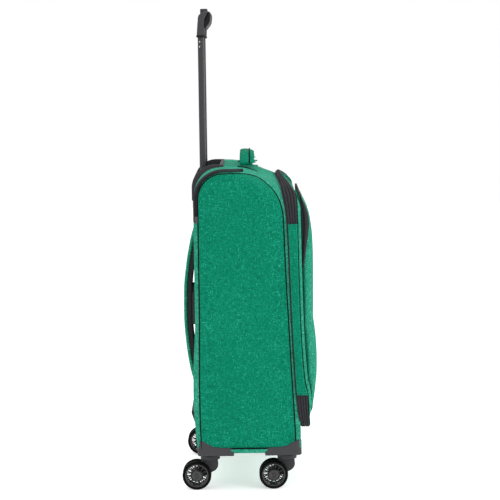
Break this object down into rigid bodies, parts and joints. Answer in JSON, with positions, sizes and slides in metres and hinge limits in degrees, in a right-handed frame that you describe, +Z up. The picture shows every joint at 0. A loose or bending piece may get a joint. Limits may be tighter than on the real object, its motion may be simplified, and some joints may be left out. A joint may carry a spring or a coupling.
{
  "type": "soft-sided trolley case",
  "caption": "Soft-sided cabin trolley case with a telescopic pull handle, a side-hinged zipped lid, a front pocket and twin swivel casters.",
  "frame": {"origin": "on the floor under the middle of the case", "axes": "+X towards the front pocket, +Y towards the side with the carry handle (away from the lid's hinge), +Z up"},
  "size_m": [0.2299, 0.4038, 0.7932],
  "materials": {
    "green_fabric": "melange polyester, plain weave",
    "black_piping": "piped cord",
    "steel": "plain",
    "dark_lining": "thin lining cloth",
    "zip_tape": "woven tape with nylon coil",
    "black_plastic": "fine spark texture",
    "soft_grip_plastic": "soft touch",
    "zinc_black": "black coated zinc",
    "raw_aluminium": "mill finish",
    "dark_anodised": "dark grey anodised",
    "wheel_plastic": "moulded",
    "tyre": "smooth rubber tread"
  },
  "bodies": {
    "case": {"back_panel": "green_fabric", "body_gusset": "green_fabric", "side_panel_near": "green_fabric", "side_panel_far": "green_fabric", "side_piping": "black_piping", "rim_hoop": "steel", "base_tray": "black_plastic", "back_lining": "dark_lining", "main_zip_case_half": "zip_tape", "side_zip": "zip_tape", "side_zip_slider": "zinc_black", "handle_bezel": "black_plastic", "outer_tubes": "raw_aluminium", "tube_foot": "black_plastic", "top_handle": "green_fabric", "side_handle": "green_fabric", "back_strap": "green_fabric", "strap_keeper": "black_plastic", "kick_plate": "black_plastic", "guard_rear_near": "black_plastic", "guard_rear_far": "black_plastic", "guard_front_near": "black_plastic", "guard_front_far": "black_plastic", "guard_rivets": "steel"},
    "lid": {"lid_band": "zip_tape", "lid_panel": "green_fabric", "lid_mesh_pocket": "dark_lining", "hinge_block": "green_fabric", "main_zip_lid_half": "zip_tape", "main_zip_sliders": "zinc_black", "front_pocket": "green_fabric", "pocket_zip": "zip_tape", "pocket_slider": "zinc_black"},
    "puller_upper": {"main_puller_upper": "zinc_black"},
    "puller_lower": {"main_puller_lower": "zinc_black"},
    "puller_pocket": {"pocket_puller": "zinc_black"},
    "handle_middle": {"middle_tubes": "dark_anodised"},
    "handle_inner": {"inner_tubes": "dark_anodised", "grip_rear_shell": "black_plastic", "grip_front_shell": "soft_grip_plastic"},
    "release_button": {"release_button": "black_plastic", "push_rods": "steel"},
    "caster_rear_near": {"fork_rear_near": "black_plastic"},
    "wheels_rear_near": {"axle_rear_near": "steel", "hubs_rear_near": "wheel_plastic", "tyres_rear_near": "tyre"},
    "caster_rear_far": {"fork_rear_far": "black_plastic"},
    "wheels_rear_far": {"axle_rear_far": "steel", "hubs_rear_far": "wheel_plastic", "tyres_rear_far": "tyre"},
    "caster_front_near": {"fork_front_near": "black_plastic"},
    "wheels_front_near": {"axle_front_near": "steel", "hubs_front_near": "wheel_plastic", "tyres_front_near": "tyre"},
    "caster_front_far": {"fork_front_far": "black_plastic"},
    "wheels_front_far": {"axle_front_far": "steel", "hubs_front_far": "wheel_plastic", "tyres_front_far": "tyre"}
  },
  "joints": [
    {"name": "lid_hinge", "type": "hinge", "parent": "case", "child": "lid", "pos_m": [0.0855, -0.193, 0.108], "axis": [0.0541, 0, -0.9985], "range_deg": [0, 165]},
    {"name": "handle_middle_slide", "type": "slide", "parent": "case", "child": "handle_middle", "axis": [0, 0, 1], "range_m": [0, 0.245]},
    {"name": "handle_inner_slide", "type": "slide", "parent": "handle_middle", "child": "handle_inner", "axis": [0, 0, 1], "range_m": [-0.252, 0]},
    {"name": "button_press", "type": "slide", "parent": "handle_inner", "child": "release_button", "axis": [0, 0, -1], "range_m": [0, 0.004], "stiffness_N_per_m": 700, "springref_m": -0.003},
    {"name": "puller_upper_swing", "type": "hinge", "parent": "lid", "child": "puller_upper", "pos_m": [0.07846, 0.198, 0.34528], "axis": [0.9985, 0, 0.0541], "range_deg": [0, 170]},
    {"name": "puller_lower_swing", "type": "hinge", "parent": "lid", "child": "puller_lower", "pos_m": [0.08127, 0.198, 0.29335], "axis": [0.9985, 0, 0.0541], "range_deg": [0, 170]},
    {"name": "puller_pocket_swing", "type": "hinge", "parent": "lid", "child": "puller_pocket", "pos_m": [0.09306, 0.181, 0.39362], "axis": [0, -1, 0], "range_deg": [0, 170]},
    {"name": "swivel_rear_near", "type": "hinge", "parent": "case", "child": "caster_rear_near", "pos_m": [-0.0635, -0.145, 0.062], "axis": [0, 0, 1], "continuous": true},
    {"name": "roll_rear_near", "type": "hinge", "parent": "caster_rear_near", "child": "wheels_rear_near", "pos_m": [-0.086, -0.145, 0.0238], "axis": [0, 1, 0], "continuous": true},
    {"name": "swivel_rear_far", "type": "hinge", "parent": "case", "child": "caster_rear_far", "pos_m": [-0.0635, 0.145, 0.062], "axis": [0, 0, 1], "continuous": true},
    {"name": "roll_rear_far", "type": "hinge", "parent": "caster_rear_far", "child": "wheels_rear_far", "pos_m": [-0.086, 0.145, 0.0238], "axis": [0, 1, 0], "continuous": true},
    {"name": "swivel_front_near", "type": "hinge", "parent": "case", "child": "caster_front_near", "pos_m": [0.0635, -0.145, 0.062], "axis": [0, 0, 1], "continuous": true},
    {"name": "roll_front_near", "type": "hinge", "parent": "caster_front_near", "child": "wheels_front_near", "pos_m": [0.041, -0.145, 0.0238], "axis": [0, 1, 0], "continuous": true},
    {"name": "swivel_front_far", "type": "hinge", "parent": "case", "child": "caster_front_far", "pos_m": [0.0635, 0.145, 0.062], "axis": [0, 0, 1], "continuous": true},
    {"name": "roll_front_far", "type": "hinge", "parent": "caster_front_far", "child": "wheels_front_far", "pos_m": [0.041, 0.145, 0.0238], "axis": [0, 1, 0], "continuous": true}
  ]
}
